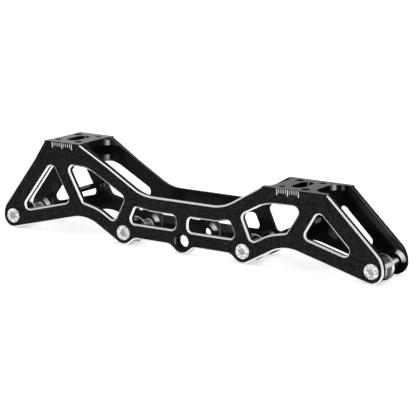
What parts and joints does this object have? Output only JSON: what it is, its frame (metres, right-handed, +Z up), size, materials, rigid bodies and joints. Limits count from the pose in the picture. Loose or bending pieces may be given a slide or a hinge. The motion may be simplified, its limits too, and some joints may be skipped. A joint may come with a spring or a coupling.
{
  "type": "inline skate frame",
  "caption": "Inline skate frame: two bevelled side walls with windows, slotted boot decks, axle screws with sunk heads and flanged spacers.",
  "frame": {"origin": "centre of the empty middle axle hole, half way between the two walls", "axes": "+X to the front of the skate, +Y from the axle heads to the threaded wall, +Z up towards the boot"},
  "size_m": [0.2772, 0.039, 0.0613],
  "materials": {
    "body": "matte black anodised with polished bevels",
    "axle": "polished",
    "spacer": "satin"
  },
  "bodies": {
    "frame": {"frame_body": "body"},
    "axle_1": {"axle_1": "axle"},
    "spacer_1": {"spacer_1": "spacer"},
    "axle_2": {"axle_2": "axle"},
    "spacer_2": {"spacer_2": "spacer"},
    "axle_3": {"axle_3": "axle"},
    "spacer_3": {"spacer_3": "spacer"},
    "axle_4": {"axle_4": "axle"},
    "spacer_4": {"spacer_4": "spacer"}
  },
  "joints": [
    {"name": "axle_1_withdraw", "type": "slide", "parent": "frame", "child": "axle_1", "axis": [0, -1, 0], "range_m": [0, 0.036]},
    {"name": "spacer_1_slide", "type": "slide", "parent": "frame", "child": "spacer_1", "axis": [0, 1, 0], "range_m": [0, 0.0141]},
    {"name": "axle_2_withdraw", "type": "slide", "parent": "frame", "child": "axle_2", "axis": [0, -1, 0], "range_m": [0, 0.036]},
    {"name": "spacer_2_slide", "type": "slide", "parent": "frame", "child": "spacer_2", "axis": [0, 1, 0], "range_m": [0, 0.0141]},
    {"name": "axle_3_withdraw", "type": "slide", "parent": "frame", "child": "axle_3", "axis": [0, -1, 0], "range_m": [0, 0.036]},
    {"name": "spacer_3_slide", "type": "slide", "parent": "frame", "child": "spacer_3", "axis": [0, 1, 0], "range_m": [0, 0.0141]},
    {"name": "axle_4_withdraw", "type": "slide", "parent": "frame", "child": "axle_4", "axis": [0, -1, 0], "range_m": [0, 0.036]},
    {"name": "spacer_4_slide", "type": "slide", "parent": "frame", "child": "spacer_4", "axis": [0, 1, 0], "range_m": [0, 0.0141]}
  ]
}
